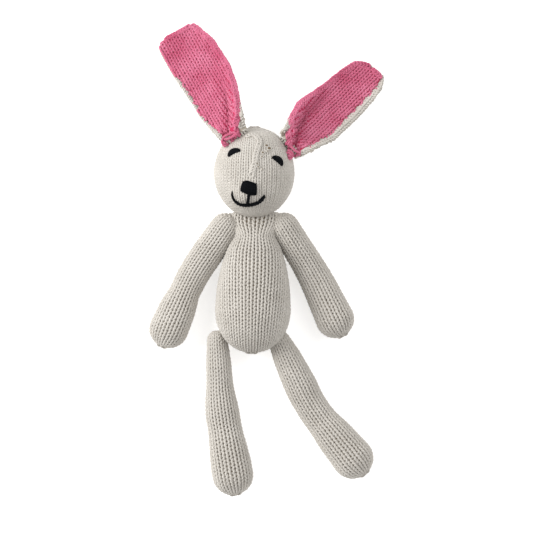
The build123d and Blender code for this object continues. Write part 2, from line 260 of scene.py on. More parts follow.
class Form:
    """Round stuffed form about a spine. Its skin's coordinates are the angle from the top and the
    distance along the skin from the first pole."""

    def __init__(self, along, radius, spine, warp=None, step=0.75, around=160, pole=1.0):
        skin_length = np.concatenate([[0], np.cumsum(np.hypot(np.diff(along), np.diff(radius)))])
        keep = np.concatenate([[True], np.diff(skin_length) > 1e-6])
        skin_length, along, radius = skin_length[keep], along[keep], radius[keep]
        low = np.interp(pole, radius[: len(radius) // 2], skin_length[: len(radius) // 2])
        tail = slice(len(radius) // 2, None)
        high = np.interp(-pole, -radius[tail], skin_length[tail])
        self.v = np.arange(low, high, step)
        self.first, self.length = self.v[0], self.v[-1]
        x = np.interp(self.v, skin_length, along)
        self.radius = np.interp(self.v, skin_length, radius)
        centre, tangent = spine(x)
        side = unit(np.cross(tangent, [0, 0, 1.0]))
        up = np.cross(side, tangent)
        angle = np.linspace(-pi, pi, around + 1)
        round_it = np.cos(angle)[:, None, None] * up + np.sin(angle)[:, None, None] * side
        points = centre + self.radius[:, None] * round_it
        if warp:
            points = warp(points, round_it)
        points = table_rest(points)
        self.skin = Skin(points, angle, self.v, True, 1)

    def core(self, name, inset, material, every=4):
        """Closed smooth body of wadding under the knitting."""
        grid = self.skin.points[:-1:every, ::every] - self.skin.normals[:-1:every, ::every] * inset
        around, rows = grid.shape[:2]
        points = np.concatenate([grid.reshape(-1, 3), [grid[:, 0].mean(0)], [grid[:, -1].mean(0)]])
        quads = grid_quads(np.arange(around + 1) % around, rows)
        first = np.arange(around) * rows
        after, last_row = np.roll(first, -1), rows - 1
        low = np.stack([after, first, np.full(around, around * rows)], -1)
        high = np.stack([first + last_row, after + last_row, np.full(around, around * rows + 1)], -1)
        return make_piece(name, points, [quads, np.concatenate([low, high])], material)


def straight_spine(start, end):
    start, end = np.array(start), np.array(end)
    heading = unit(end - start)

    def spine(x):
        return start + x[:, None] * heading, np.broadcast_to(heading, (len(x), 3))

    return spine


def bent_spine(start, bend, end, easing=16.0):
    """Spine through three points, rounded at the middle one."""
    start, bend, end = (np.array(p) for p in (start, bend, end))
    first, second = unit(bend - start), unit(end - bend)
    before, after = np.linalg.norm(bend - start), np.linalg.norm(end - bend)

    def spine(x):
        x = np.asarray(x)
        share = np.clip((x - before + easing) / (2 * easing), 0, 1)
        tangent = unit(first + (second - first) * share[:, None])
        straight = start + np.minimum(x, before - easing)[:, None] * first
        curve_at = share[:, None] * easing
        turned = curve_at * share[:, None]
        curved = straight + (2 * curve_at - turned) * first + turned * second
        return curved + np.maximum(x - before - easing, 0)[:, None] * second, tangent

    return spine, before + after


def limb_form(points, stations):
    """Limb with a ball at each end. stations are (share of the length, radius)."""
    spine, length = bent_spine(*points)
    shares, radii = zip(*stations)
    turn = np.linspace(-pi / 2, 0, 60)
    first, last = radii[0], radii[-1]
    middle = np.linspace(0, length, 200)[1:-1]
    smooth = np.interp(middle, np.array(shares) * length, radii)
    for _ in range(12):
        smooth[1:-1] = (smooth[:-2] + smooth[1:-1] * 2 + smooth[2:]) / 4
    along = np.concatenate([first * np.sin(turn), middle, length - last * np.sin(turn[::-1])])
    radius = np.concatenate([first * np.cos(turn), smooth, last * np.cos(turn[::-1])])
    return Form(along, np.maximum(radius, 0), spine)


# ------------ knitting
SEGMENTS = 12    # straight runs in one stitch


def uneven(rng, count, n, size):
    """Periodic wobble along a row, with one random value for each stitch."""
    values = rng.normal(0, size, count)
    at = np.arange(n) * count / n
    i = at.astype(int) % count
    share = ease(at % 1, 0, 1)
    return values[i] * (1 - share) + values[(i + 1) % count] * share


def knit_round(form, wale, course, yarn, depth, drift, seed, lean=0.205, ends=(4.0, 4.0)):
    """Rows of interlocked stitches around a form. wale is a stitch's width, or widths at even steps
    along the skin, course is the height of a row, yarn is a radius, depth is how far the yarn sinks
    between stitches, drift is how much the width follows the form's radius, and lean is how far the
    legs of a stitch spread. ends are the radii of the first and last rows."""
    rng = np.random.default_rng(seed)
    yarns = Yarns()
    wales = np.atleast_1d(wale).astype(float)
    widest = form.radius.max()
    inset = depth + yarn
    tall = (course + 2.5 * yarn) / 2
    middle = np.argmax(form.radius)
    low = np.interp(ends[0], form.radius[: middle + 1], form.v[: middle + 1])
    high = np.interp(-ends[1], -form.radius[middle:], form.v[middle:])
    rows = max(int(round((high - low) / course)), 1)
    for row in range(rows + 1):
        at = low + (high - low) * row / rows

        def turn_per_wale(v):
            r = np.interp(v, form.v, form.radius)
            width = np.interp(v / form.length, np.linspace(0, 1, len(wales)), wales)
            return width * (r / widest) ** drift / np.maximum(r, 0.5)

        count = max(int(round(FULL_TURN / turn_per_wale(at))), 6)
        n = count * SEGMENTS
        u = np.arange(n) / SEGMENTS - count / 2
        t = FULL_TURN * u
        across = u + (lean + uneven(rng, count, n, 0.008)) * np.sin(2 * t) + uneven(rng, count, n, 0.018)
        v = at - (tall + uneven(rng, count, n, 0.06)) * np.cos(t) + uneven(rng, count, n, 0.10)
        out = -inset - depth * np.cos(2 * t) + uneven(rng, count, n, 0.08)
        stretch = pi / (count / 2 * turn_per_wale(at))
        angle = across * turn_per_wale(v) * (1 + (stretch - 1) * (np.abs(across) / (count / 2)) ** 4)
        angle = (angle + pi) % FULL_TURN - pi
        path, normal = form.skin.at(angle, v, out)
        thick = yarn * (1 + uneven(rng, count, n, 0.03)) * min(1.0, 0.75 + count / 60)
        yarns.add(path, normal, thick, closed=True)
    return yarns


# ------------ materials
def node_material(name):
    material = bpy.data.materials.new(name)
    material.use_nodes = True
    tree = material.node_tree
    return material, tree, tree.nodes["Principled BSDF"]


def feed(tree, node, inputs):
    """Sets a node's inputs, each to a value or to another node's output."""
    for key, value in inputs.items():
        if isinstance(value, bpy.types.NodeSocket):
            tree.links.new(value, node.inputs[key])
        else:
            node.inputs[key].default_value = value


def add_node(tree, kind, inputs=None, **settings):
    node = tree.nodes.new(kind)
    for key, value in settings.items():
        setattr(node, key, value)
    feed(tree, node, inputs or {})
    return node


def calculated(tree, operation, *values):
    return add_node(tree, "ShaderNodeMath", dict(enumerate(values)), operation=operation).outputs[0]


def noise(tree, scale, detail):
    place = add_node(tree, "ShaderNodeTexCoord").outputs["Object"]
    inputs = {"Vector": place, "Scale": scale, "Detail": detail}
    return add_node(tree, "ShaderNodeTexNoise", inputs).outputs["Fac"]


def coloured(tree, shader, tone, dark, light):
    """Runs the shader's colour from dark to light. Each is (tone, colour)."""
    node = add_node(tree, "ShaderNodeValToRGB", {"Fac": tone})
    for element, (place, colour) in zip(node.color_ramp.elements, (dark, light)):
        element.position = place
        element.color = (*colour, 1)
    feed(tree, shader, {"Base Color": node.outputs["Color"]})


def bumped(tree, shader, height, strength, distance):
    bump = add_node(tree, "ShaderNodeBump", {"Strength": strength, "Distance": distance, "Height": height})
    feed(tree, shader, {"Normal": bump.outputs["Normal"]})


PLIES, PLY_LENGTH = 2.0, 1.9    # strands in the yarn, and mm along it for one turn


def yarn_material(name, dark, light, sheen=0.1, rough=0.85, shine=0.2):
    """Spun cotton: plies twisted along the yarn, fine fibres, and a soft patchy tone."""
    material, tree, shader = node_material(name)
    uv = add_node(tree, "ShaderNodeUVMap", uv_map="yarn").outputs["UV"]
    parts = add_node(tree, "ShaderNodeSeparateXYZ", {"Vector": uv}).outputs
    turned = calculated(tree, "MULTIPLY", parts["X"], PLIES)
    along = calculated(tree, "MULTIPLY", parts["Y"], 1 / PLY_LENGTH)
    phase = calculated(tree, "ADD", turned, along)
    plies = calculated(tree, "SINE", calculated(tree, "MULTIPLY", phase, FULL_TURN))
    fibres = noise(tree, 2600.0, 2.0)
    patches = noise(tree, 60.0, 3.0)
    spread = calculated(tree, "MULTIPLY_ADD", fibres, 0.5, calculated(tree, "MULTIPLY", plies, 0.10))
    tone = calculated(tree, "MULTIPLY_ADD", patches, 0.6, spread)
    coloured(tree, shader, tone, (0.25, dark), (0.8, light))
    bumped(tree, shader, calculated(tree, "MULTIPLY_ADD", fibres, 0.5, plies), 0.35, 0.00025)
    feed(tree, shader, {"Roughness": rough, "Specular IOR Level": shine})
    feed(tree, shader, {"Sheen Weight": sheen, "Sheen Roughness": 0.45})
    return material


def wadding_material(name, dark, light):
    """What shows between the stitches: fabric in shade over the filling."""
    material, tree, shader = node_material(name)
    fibres = noise(tree, 900.0, 4.0)
    coloured(tree, shader, fibres, (0.3, dark), (0.7, light))
    bumped(tree, shader, fibres, 0.4, 0.0004)
    feed(tree, shader, {"Roughness": 0.95, "Specular IOR Level": 0.1})
    return material


CREAM = yarn_material("cream_yarn", (0.50, 0.468, 0.42), (0.64, 0.607, 0.56))
# Painted shade: the dark discs in the forehead holes.
CREAM_SHADE = wadding_material("cream_shade", (0.15, 0.115, 0.075), (0.22, 0.175, 0.12))
# Filling under the torso and limbs: its colour darkened with painted shade, for the shade down in the holes
# between stitches.
WADDING_IN_SHADE = wadding_material("wadding_in_shade", (0.24, 0.19, 0.135), (0.34, 0.28, 0.21))
# Filling under the head, and the sheet under each ear's back: a lighter cream darkened with painted shade,
# for the shade in the holes between stitches.
UNDERLAY_IN_SHADE = wadding_material("underlay_in_shade", (0.40, 0.355, 0.29), (0.50, 0.455, 0.38))
PINK = yarn_material("pink_yarn", (0.45, 0.043, 0.11), (0.73, 0.245, 0.37))
# Painted shade: the dark pink sheet under each ear's lining stitches.
PINK_SHADE = wadding_material("pink_shade", (0.45, 0.03, 0.09), (0.55, 0.05, 0.13))
BLACK = yarn_material(
    "black_yarn", (0.001, 0.0015, 0.002), (0.005, 0.006, 0.008), sheen=0.0, rough=0.8, shine=0.08
)

# ------------ torso
COURSE, YARN = 3.04, 0.93    # height of a row and radius of the yarn, on the torso and the limbs
CORE_INSET = 2.3
torso_length = float(np.linalg.norm(np.subtract(TORSO_BOTTOM, TORSO_TOP)))
belly_at = torso_length - BOTTOM_HEIGHT
bottom_radius = dome_radius(BELLY_SIDE_RADIUS, BELLY_HALF_WIDTH, BOTTOM_HEIGHT)
chest_centre = (BELLY_HALF_WIDTH - CHEST_RADIUS, belly_at)
chest_turn = radians(CHEST_TURN)
round_centre = (
    chest_centre[0] + (CHEST_RADIUS - SHOULDER_ROUND) * cos(chest_turn),
    chest_centre[1] - (CHEST_RADIUS - SHOULDER_ROUND) * sin(chest_turn),
)
top_square = SHOULDER_ROUND**2 - round_centre[0] ** 2 - round_centre[1] ** 2
top_radius = top_square / (2 * (SHOULDER_ROUND - round_centre[1]))
torso_arcs = [
    (0, top_radius, top_radius),
    (*round_centre, SHOULDER_ROUND),
    (*chest_centre, CHEST_RADIUS),
    (BELLY_HALF_WIDTH - BELLY_SIDE_RADIUS, belly_at, BELLY_SIDE_RADIUS),
    (0, torso_length - bottom_radius, bottom_radius),
]
along, radius = arc_profile(torso_arcs)
below_neck = along > NECK_FLARE[-1][0]
flare_along, flare_radius = zip(*NECK_FLARE)
flare_at = np.linspace(flare_along[0], flare_along[-1], 60)
along = np.concatenate([flare_along[:1], flare_at, along[below_neck]])
radius = np.concatenate([[0], np.interp(flare_at, flare_along, flare_radius), radius[below_neck]])


def neck_flat(points, outward):
    """The neck is drawn out wide and flat under the chin."""
    share = ease(points[..., 1], *NECK_FLAT_FROM)
    out = points.copy()
    out[..., 0] = TORSO_TOP[0] + (points[..., 0] - TORSO_TOP[0]) * (1 + NECK_WIDER * share)
    out[..., 2] = TORSO_TOP[2] + (points[..., 2] - TORSO_TOP[2]) * (1 - NECK_FLATTER * share)
    return out


TORSO_WALES = [3.4, 3.7, 4.8, 6.4, 6.4, 6.1, 5.8, 5.4, 5.1, 4.9, 4.5]
torso = Form(along, radius, straight_spine(TORSO_TOP, TORSO_BOTTOM), warp=neck_flat)
torso_yarns = knit_round(torso, TORSO_WALES, COURSE, YARN, depth=0.85, drift=0.05, seed=1, ends=(8.5, 4.0))
torso_knit = torso_yarns.piece("torso_knit", CREAM)
torso_core = torso.core("torso_core", CORE_INSET, WADDING_IN_SHADE)

# ------------ head
chin_point = (HEAD_CENTRE[0], HEAD_CENTRE[1] - CHIN_HEIGHT, HEAD_CENTRE[2])
chin_radius = dome_radius(CHIN_SIDE_RADIUS, HEAD_HALF_WIDTH, CHIN_HEIGHT)
crown_radius = dome_radius(CROWN_SIDE_RADIUS, HEAD_HALF_WIDTH, CROWN_HEIGHT)
head_arcs = [
    (0, chin_radius, chin_radius),
    (HEAD_HALF_WIDTH - CHIN_SIDE_RADIUS, CHIN_HEIGHT, CHIN_SIDE_RADIUS),
    (HEAD_HALF_WIDTH - CROWN_SIDE_RADIUS, CHIN_HEIGHT, CROWN_SIDE_RADIUS),
    (0, CHIN_HEIGHT + CROWN_HEIGHT - crown_radius, crown_radius),
]


def muzzle(points, outward):
    """Pushes the skin out over the soft muzzle, with an easy edge."""
    inside = MUZZLE_RADIUS - np.linalg.norm(points - np.array(MUZZLE_CENTRE), axis=-1)
    swell = (inside + np.sqrt(inside**2 + MUZZLE_EASE)) / 2
    return points + outward * (swell * (swell > MUZZLE_LEAST))[..., None]


head = Form(*arc_profile(head_arcs), straight_spine(chin_point, HEAD_CENTRE), warp=muzzle)
head_yarns = knit_round(head, wale=4.3, course=2.5, yarn=0.92, depth=0.7, drift=0.6, seed=2)
head_knit = head_yarns.piece("head_knit", CREAM)
head_core = head.core("head_core", 2.6, UNDERLAY_IN_SHADE)

# ------------ limbs
limbs, limb_forms = {}, {}
LIMB_KINDS = (("arm", ARMS, ARM_SHAPES, 6.3, 3), ("leg", LEGS, LEG_SHAPES, 6.7, 4))
for part, joints, shapes, wale, seed in LIMB_KINDS:
    for side, (start, pivot, end) in joints.items():
        *points, stations = shapes[side]
        form = limb_form(points, stations)
        yarns = knit_round(form, wale, COURSE, YARN, depth=0.78, drift=0.6, seed=seed)
        knit = yarns.piece(f"{side}_{part}_knit", CREAM)
        core = form.core(f"{side}_{part}_core", CORE_INSET, WADDING_IN_SHADE)
        limbs[f"{side}_{part}"] = (knit, core, start, pivot, end)
        limb_forms[f"{side}_{part}"] = form


# ------------ sewing
def drawn(points, step=0.4):
    """Smooth line through a few points, sampled evenly."""
    points = np.asarray(points, float)
    ends = np.concatenate([[2 * points[0] - points[1]], points, [2 * points[-1] - points[-2]]])
    share = np.linspace(0, 1, 24, endpoint=False)[:, None]
    runs = []
    for a, b, c, d in zip(ends, ends[1:], ends[2:], ends[3:]):
        runs.append(b + (c - a) * share / 2 + (a - 2.5 * b + 2 * c - d / 2) * share**2
                    + (1.5 * b - a / 2 - 1.5 * c + d / 2) * share**3)
    line = np.concatenate([*runs, points[-1:]])
    length = distance_along(line)
    return sampled(line, length, np.linspace(0, length[-1], max(int(length[-1] / step), 3)))


face_grid = head.skin.points
face_quads = grid_quads(np.arange(len(face_grid)), face_grid.shape[1])
face_tree = BVHTree.FromPolygons(face_grid.reshape(-1, 3).tolist(), face_quads.tolist())


def on_face(plan, lift=0.0):
    """The line drawn on the head from straight above, with the head's normals."""
    points, normals = [], []
    for x, y in plan:
        place, normal, _, _ = face_tree.ray_cast(Vector((x, y, 200.0)), Vector((0, 0, -1)))
        points.append(place)
        normals.append(normal if normal.z > 0 else -normal)
    points, normals = np.array(points), np.array(normals)
    return points + normals * np.broadcast_to(lift, len(points))[:, None], normals


def satin(yarns, lows, highs, yarn, rise, sunk=0.9):
    """Threads laid side by side between two edges, each one going down into the knitting."""
    share = np.linspace(0, 1, 9)[:, None]
    for low, high in zip(lows, highs):
        lift = (rise + sunk) * np.sin(pi * share[:, 0]) ** 0.45 - sunk
        yarns.add(*on_face(low + (high - low) * share, lift), yarn, sides=6)


STRAND_OFF, STRAND_RADIUS = 0.42, 0.66    # shares of the whole yarn's radius


def plied(yarns, points, normals, radius, twist=4.6):
    """Two strands twisted together. radius is that of the whole yarn, and can vary."""
    tangent = unit(np.gradient(points, axis=0))
    beside = unit(np.cross(tangent, normals))
    above = np.cross(beside, tangent)
    length = distance_along(points)
    whole = np.broadcast_to(radius, len(points))
    for start in (0, pi):
        angle = (length / twist * FULL_TURN + start)[:, None]
        spoke = beside * np.cos(angle) + above * np.sin(angle)
        yarns.add(points + spoke * whole[:, None] * STRAND_OFF, normals, whole * STRAND_RADIUS, sides=6)


CHAIN_PITCH = 0.78    # from one link to the next, as a share of a link


def chain(yarns, points, normals, link, wide, yarn, seed):
    """Chain stitches: overlapping loops along a line."""
    rng = np.random.default_rng(seed)
    length = distance_along(points)
    beside = unit(np.cross(unit(np.gradient(points, axis=0)), normals))
    turn = np.linspace(0, FULL_TURN, 18, endpoint=False)
    for start in np.arange(0, length[-1] - link, link * CHAIN_PITCH):
        size = 1 + rng.normal(0, 0.08)
        at = start + link * size * (0.55 - 0.62 * np.cos(turn))
        where, out, side_on = (sampled(values, length, at) for values in (points, normals, beside))
        across = wide / 2 * size * np.sin(turn) * (1.1 + 0.35 * np.cos(turn + pi))
        lift = 0.35 * np.cos(turn) + rng.normal(0, 0.1)
        yarns.add(where + side_on * across[:, None] + out * lift[:, None], out, yarn, closed=True)


WHIP_SEGMENTS = 10    # straight runs in one turn


def whip(yarns, centres, normals, coil, pitch, yarn, seed, closed=False, rough=0.12):
    """Yarn coiled along a line, as in over-and-over sewing."""
    rng = np.random.default_rng(seed)
    length = distance_along(centres)
    turns = max(int(length[-1] / pitch), 2)
    n = turns * WHIP_SEGMENTS
    at = np.linspace(0, length[-1], n, endpoint=not closed)
    middle = sampled(centres, length, at)
    normal = unit(sampled(normals, length, at))
    tangent = unit(np.gradient(middle, axis=0))
    beside = unit(np.cross(tangent, normal))
    angle = at / length[-1] * turns * FULL_TURN + uneven(rng, turns, n, 0.25)
    width = coil * (1 + uneven(rng, turns, n, rough))
    spoke = normal * np.cos(angle)[:, None] + beside * np.sin(angle)[:, None]
    path = middle + spoke * width[:, None]
    path[:, 2] = np.maximum(path[:, 2], yarn + 0.05)
    yarns.add(path, spoke, yarn, closed=closed)


def seam(name, centre, towards, ring_radius, coil=0.8, pitch=2.4, yarn=0.62, seed=21):
    """Ring of over-and-over stitches around a neck, shoulder or hip."""
    centre, heading = np.array(centre, float), unit(np.array(towards, float))
    side = unit(np.cross(heading, [0.0, 0.0, 1.0]))
    up = np.cross(side, heading)
    turn = np.linspace(0, FULL_TURN, 73)[:, None]
    spoke = side * np.cos(turn) + up * np.sin(turn)
    yarns = Yarns()
    whip(yarns, centre + spoke * ring_radius, spoke, coil, pitch, yarn, seed, closed=True)
    return yarns.piece(name, CREAM)


def drawstring(name, form, seed=31):
    """Yarn pulled tight through the last row of a rounded end, with a few stitches across it."""
    rng = np.random.default_rng(seed)
    yarns = Yarns()
    turn = np.linspace(-pi, pi, 40, endpoint=False)
    ripple = -0.25 + 0.2 * np.sin(turn * 5)
    yarns.add(*form.skin.at(turn, np.full(40, form.length - 0.9), ripple), 0.72, closed=True)
    share = np.linspace(0, 1, 9)
    for angle in np.arange(6) * FULL_TURN / 6 - pi + rng.normal(0, 0.12, 6):
        reach = np.linspace(0.2, 4.4 + rng.normal(0, 0.4), 9)
        lift = -0.2 + 0.5 * np.sin(pi * share) - 0.6 * share**3
        yarns.add(*form.skin.at(np.full(9, angle), form.length - reach, lift), 0.6)
    return yarns.piece(name, CREAM)


# ------------ face
EYE_THREAD_GAP, EYE_MARGIN, EYE_LEAN = 0.62, 0.35, 0.10


def half_moon(name, first, second, rise, sag):
    """Closed eye in satin stitch between its two corners: an arc above and a shallow sag below."""
    first, second = np.array(first), np.array(second)
    half = np.linalg.norm(second - first) / 2
    chord = (second - first) / (2 * half)
    up = np.array([-chord[1], chord[0]])
    bow = (half**2 + rise**2) / (2 * rise)
    x = np.linspace(EYE_MARGIN - half, half - EYE_MARGIN, int(half * 2 / EYE_THREAD_GAP))
    top = np.sqrt(bow**2 - x**2) - bow + rise
    foot = sag * (1 - (x / half) ** 2)
    middle = (first + second) / 2
    yarns = Yarns()
    lows = middle + chord * (x - x * EYE_LEAN)[:, None] + up * foot[:, None]
    highs = middle + chord * x[:, None] + up * np.maximum(top, foot + 0.5)[:, None]
    satin(yarns, lows, highs, 0.5, 0.55)
    for edge in (lows, highs):
        yarns.add(*on_face(drawn(edge), 0.1), 0.5, sides=6)
    return yarns.piece(name, BLACK)


left_eye = half_moon("left_eye_satin", (-30.7, 80.5), (-20.7, 85.3), rise=4.1, sag=0.5)
right_eye = half_moon("right_eye_satin", (3.5, 80.0), (11.8, 73.0), rise=4.4, sag=0.5)

nose_yarns = Yarns()
share = np.linspace(0, 1, 20)
top_edge = drawn([(-18.9, 60.4), (-15.4, 61.0), (-8.6, 58.8)])
foot_edge = drawn([(-20.8, 53.8), (-14.2, 50.7), (-8.7, 50.6)])
lows, highs = (edge[(share * (len(edge) - 1)).astype(int)] for edge in (foot_edge, top_edge))
satin(nose_yarns, lows, highs, 0.55, 0.75)
for edge in (top_edge, foot_edge):
    nose_yarns.add(*on_face(edge, 0.25), 0.55, sides=6)
nose_satin = nose_yarns.piece("nose_satin", BLACK)

MOUTH_RADIUS = ([0, 0.2, 0.4, 0.7, 0.9, 1], [0.75, 1.0, 1.5, 1.55, 1.7, 1.1])
mouth_yarns = Yarns()
smile = drawn([(-27.6, 53.0), (-26.9, 48.6), (-24.5, 45.2), (-21.0, 43.2), (-15.6, 42.6), (-9.6, 43.6),
               (-5.3, 46.0), (-1.8, 49.8)])
share = np.linspace(0, 1, len(smile))
lift = 0.35 - 1.1 * (1 - ease(share, 0, 0.05)) - 1.1 * ease(share, 0.96, 1)
plied(mouth_yarns, *on_face(smile, lift), np.interp(share, *MOUTH_RADIUS))
for start, end in ((0.30, 0.62), (0.52, 0.80), (0.76, 0.99)):
    piece_of = smile[int(start * (len(smile) - 1)) : int(end * (len(smile) - 1))]
    inside = np.linspace(0, 1, len(piece_of))
    lift = 1.9 * np.sin(pi * inside) ** 0.5 - 0.4
    mouth_yarns.add(*on_face(piece_of + [0.1, 0.5], lift), 0.85, sides=6)
philtrum = drawn([(-14.2, 51.4), (-14.6, 47.5), (-15.3, 43.0)])
plied(mouth_yarns, *on_face(philtrum, 0.5), 1.3)
mouth_line = mouth_yarns.piece("mouth_line", BLACK)

seam_yarns = Yarns()
ridge = drawn([(-16.2, 96.4), (-12.4, 98.4), (-8.4, 97.0), (-5.9, 92.8), (-6.9, 88.4), (-8.4, 83.6),
               (-9.4, 77.6), (-10.8, 71.0), (-12.8, 64.4)])
lift = 0.1 - 0.6 * ease(np.linspace(0, 1, len(ridge)), 0.4, 1)
chain(seam_yarns, *on_face(ridge, lift), 3.2, 2.8, 0.85, seed=41)
forehead_chain = seam_yarns.piece("forehead_chain", CREAM)
FOREHEAD_HOLES = [      # x, y, radius
    (-0.4, 89.4, 0.95), (1.7, 87.2, 1.1), (-3.4, 83.8, 0.8), (-4.0, 80.6, 0.65), (-7.8, 75.2, 0.7),
    (-6.9, 72.4, 0.65), (-3.6, 70.6, 0.55), (0.4, 84.8, 0.6),
]
RIM_ACROSS, RIM_ALONG = 1.5, 1.2    # shares of the hole's radius
hole_shade_discs, hole_rims = Yarns(), Yarns()
for x, y, size in FOREHEAD_HOLES:
    turn = np.linspace(0, FULL_TURN, 14, endpoint=False)
    rim = np.stack([x + size * RIM_ACROSS * np.cos(turn), y + size * RIM_ALONG * np.sin(turn)], 1)
    hole_rims.add(*on_face(rim), 0.5, closed=True)
    # A dark disc of painted shade fills each hole inside its cream rim.
    points, normals = on_face([(x, y), (x, y)], np.array([-1.2, 0.28]))
    hole_shade_discs.add(points, normals + [0.5, 0, 0], size * 1.15, sides=8)
forehead_hole_shade = hole_shade_discs.piece("forehead_hole_shade", CREAM_SHADE)
forehead_rims = hole_rims.piece("forehead_rims", CREAM)
crown_thread = drawstring("crown_drawstring", head)

neck_seam = seam("neck_seam", (-10.0, 37.6, 27.0), np.subtract(NECK_PIVOT, TORSO_TOP), 8.6)
neck_line = Yarns()
turn = np.linspace(-pi, pi, 60, endpoint=False)
neck_line.add(*torso.skin.at(turn, np.full(60, torso.first + 4.0), -0.6), 0.75, closed=True)
neck_thread = neck_line.piece("neck_drawstring", CREAM)
base_thread = drawstring("base_drawstring", torso, seed=32)

# ------------ ears
EAR_CUP, GATHER_CUP = 0.0052, 0.022    # rise over the square of the distance across
EAR_SAG, FOOT_DROP = 6.8, 5.0
PLEAT, POCKET = (3.6, 3.2, 3.3), (-4.2, 9.6, 3.2)    # height, distance inside the inner edge, width
PLEAT_FADES, GATHER_FADES = (24, 66), (0, 20)    # along
PANEL_LEVEL, PANEL_LEAST = 1.45, 2.3    # of the yarn over its panel, and of a panel over the table


class Ear:
    """Two knitted panels sewn together. Its coordinates are the distance across, positive towards
    the middle of the head, and the distance along from the hinge."""

    def __init__(self, hinge, heading, dip, side, edges, trims):
        turn, drop = radians(heading), radians(dip)
        across = np.array([cos(turn), -side * sin(turn), 0.0])
        self.along = np.array([side * sin(turn) * cos(drop), cos(turn) * cos(drop), -sin(drop)])
        self.inner = across * -side
        self.up = np.cross(across, self.along)
        self.hinge, self.side = np.array(hinge), side
        self.edges, self.trims = np.array(edges, float), np.array(trims, float)
        self.length = self.edges[-1, 0]

    def trim(self, along):
        """How far the lining stops short of the outer and inner edges."""
        return tuple(np.interp(along, self.trims[:, 0], self.trims[:, k]) for k in (1, 2))

    def reach(self, along, lining):
        """Distance from the middle line to the outer and inner edges."""
        outer, inner = (np.interp(along, self.edges[:, 0], self.edges[:, k]) for k in (1, 2))
        if lining:
            outer_trim, inner_trim = self.trim(along)
            return outer - outer_trim, inner - inner_trim
        return outer, inner

    def surface(self, across, along):
        """Middle surface of the ear: cupped, pleated beside its inner edge, drooping to the table."""
        inside = across - self.reach(along, True)[1]
        pleated = 1 - ease(along, *PLEAT_FADES)
        gathered = 1 - ease(along, *GATHER_FADES)
        height = across**2 * (EAR_CUP + GATHER_CUP * gathered)
        height += 1.3 * gathered * np.cos(across * 1.15 + 0.8)
        for rise, inset, width in (PLEAT, POCKET):
            height += rise * pleated * np.exp(-(((inside + inset) / width) ** 2))
        height -= EAR_SAG * np.sin(pi * along / self.length)
        height += 0.5 * np.sin(along * 0.19 + across * 0.11 * self.side)
        height -= FOOT_DROP * (1 - ease(along, -2, 10))
        flat = self.hinge + across[..., None] * self.inner + along[..., None] * self.along
        return flat + height[..., None] * self.up

    def skin(self, lining):
        along = np.linspace(0, self.length, 140)
        share = np.linspace(0, 1, 72)
        outer, inner = self.reach(along, lining)
        across = -outer + share[:, None] * (outer + inner)
        points = self.surface(across, np.broadcast_to(along, across.shape))
        if not lining:
            margins = (across + outer, inner - across)
            for rise, margin, trim in zip((2.4, 1.8), margins, self.trim(along)):
                lifted = rise * ease(trim, 0.2, 2.0) * (1 - ease(margin, trim, trim + 2.5))
                points = points + lifted[..., None] * self.up
        points[..., 2] = np.maximum(points[..., 2], PANEL_LEAST)
        return Skin(points, share, along, False, -self.side)

    def place(self, across, along, lining):
        """Coordinates on the skin's grid."""
        outer, inner = self.reach(along, lining)
        return np.clip((across + outer) / (outer + inner), 0, 1), np.clip(along, 0, self.length)

    def outline(self, inset, step=0.25):
        """Points up the back's outer edge, over the tip and down its inner edge, on the grid."""
        rise = np.arange(2.0, self.length - inset, step)
        margin = np.clip(inset / np.add(*self.reach(rise, False)), 0, 0.45)
        share = np.arange(margin[-1], 1 - margin[-1], step / 12)
        outer = np.stack([margin, rise], 1)
        tip = np.stack([share, np.full(len(share), self.length - inset)], 1)
        inner = np.stack([1 - margin[::-1], rise[::-1]], 1)
        return np.concatenate([outer, tip, inner])


EAR_WALE, EAR_COURSE = 4.6, 2.9
SHEET_MARGIN = 1.5    # from the first and last rows to the ends of the ear
TEETH = (0.0, 1.9, 0.9)    # how far three rows in turn stop short of the outer edge, times ragged


def knit_sheet(ear, lining, yarn, depth, seed, ragged, lean=0.235):
    """Rows of stitches over the lining or under the back. ragged is how far the outer ends of the
    rows wander where the lining stops short of the edge."""
    rng = np.random.default_rng(seed)
    yarns = Yarns()
    skin = ear.skin(lining)
    face = 1 if lining else -1
    tall = (EAR_COURSE + 2.4 * yarn) / 2
    rows = int((ear.length - 2 * SHEET_MARGIN) / EAR_COURSE)
    for row in range(rows + 1):
        at = 1.6 + row * (ear.length - 2 * SHEET_MARGIN) / rows
        outer, inner = ear.reach(at, lining)
        teeth = ragged * ease(ear.trim(at)[0], 0.0, 0.8)
        low = -outer + teeth * (abs(rng.normal(0, 0.5)) + TEETH[row % len(TEETH)])
        high = inner + rng.normal(0, ragged * 0.3)
        count = max(ceil((high - low) / EAR_WALE), 1)
        n = int((high - low) / EAR_WALE * SEGMENTS)
        u = low / EAR_WALE + np.arange(n) / SEGMENTS
        t = FULL_TURN * u
        legs = (lean + uneven(rng, count, n, 0.01)) * np.sin(2 * t)
        across = EAR_WALE * (u + legs + uneven(rng, count, n, 0.03))
        along = at + tall * np.cos(t) + uneven(rng, count, n, 0.16)
        out = face * (PANEL_LEVEL - depth * np.cos(2 * t) + uneven(rng, count, n, 0.08))
        path, normal = skin.at(*ear.place(np.clip(across, low, high), along, lining), out)
        path[:, 2] = np.maximum(path[:, 2], yarn + 0.1)
        yarns.add(path, normal * face, yarn * (1 + uneven(rng, count, n, 0.03)))
    return yarns


LINING_COLUMNS = (6, -2, 2)    # of the skin's grid: the sheet of painted shade stops short of the ragged outer edge
